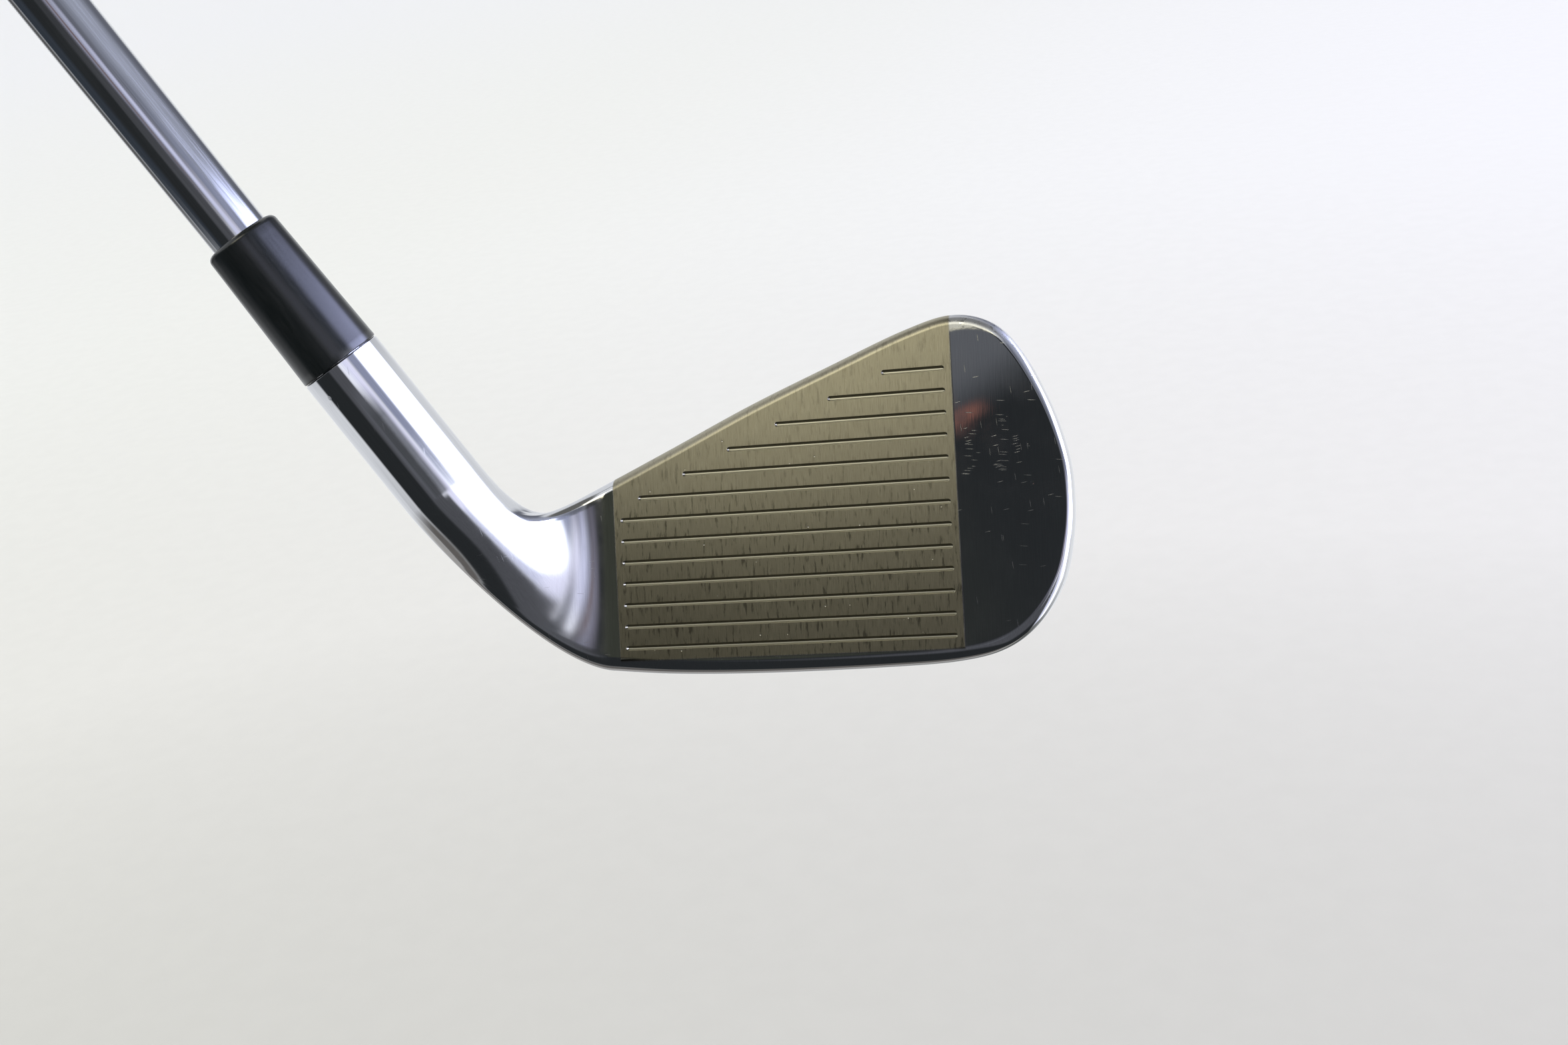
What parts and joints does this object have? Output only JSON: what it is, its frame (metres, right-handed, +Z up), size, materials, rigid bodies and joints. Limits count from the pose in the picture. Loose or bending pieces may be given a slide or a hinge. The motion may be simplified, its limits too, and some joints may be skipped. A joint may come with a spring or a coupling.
{
  "type": "iron golf club",
  "caption": "Left-handed iron golf club: cavity-back head with straight score lines and a round hosel, black ferrule, stepped steel shaft and slip-on rubber grip.",
  "frame": {"origin": "the strike point: the middle of the flat face, midway along the score lines and midway between the fifth and sixth line up", "axes": "the club stands as at address: +Z up, +X along the score lines from heel to toe, and the face looks towards -Y, tilted up by its 25 degree loft; the shaft leans from the heel towards -X"},
  "size_m": [0.5501, 0.0393, 0.8567],
  "materials": {
    "head_chrome": "polished, with a satin scored face",
    "shaft_chrome": "polished",
    "epoxy": "cured adhesive",
    "ferrule_plastic": "satin black",
    "band_film": "printed film, plain",
    "tape": "creped paper tape",
    "grip_rubber": "moulded, textured",
    "cap_rubber": "moulded, smooth"
  },
  "bodies": {
    "root": {"club_head": "head_chrome", "shaft": "shaft_chrome", "hosel_epoxy": "epoxy", "ferrule": "ferrule_plastic", "shaft_band": "band_film", "grip_tape": "tape", "grip_sleeve": "grip_rubber", "grip_cap": "cap_rubber"}
  },
  "joints": []
}
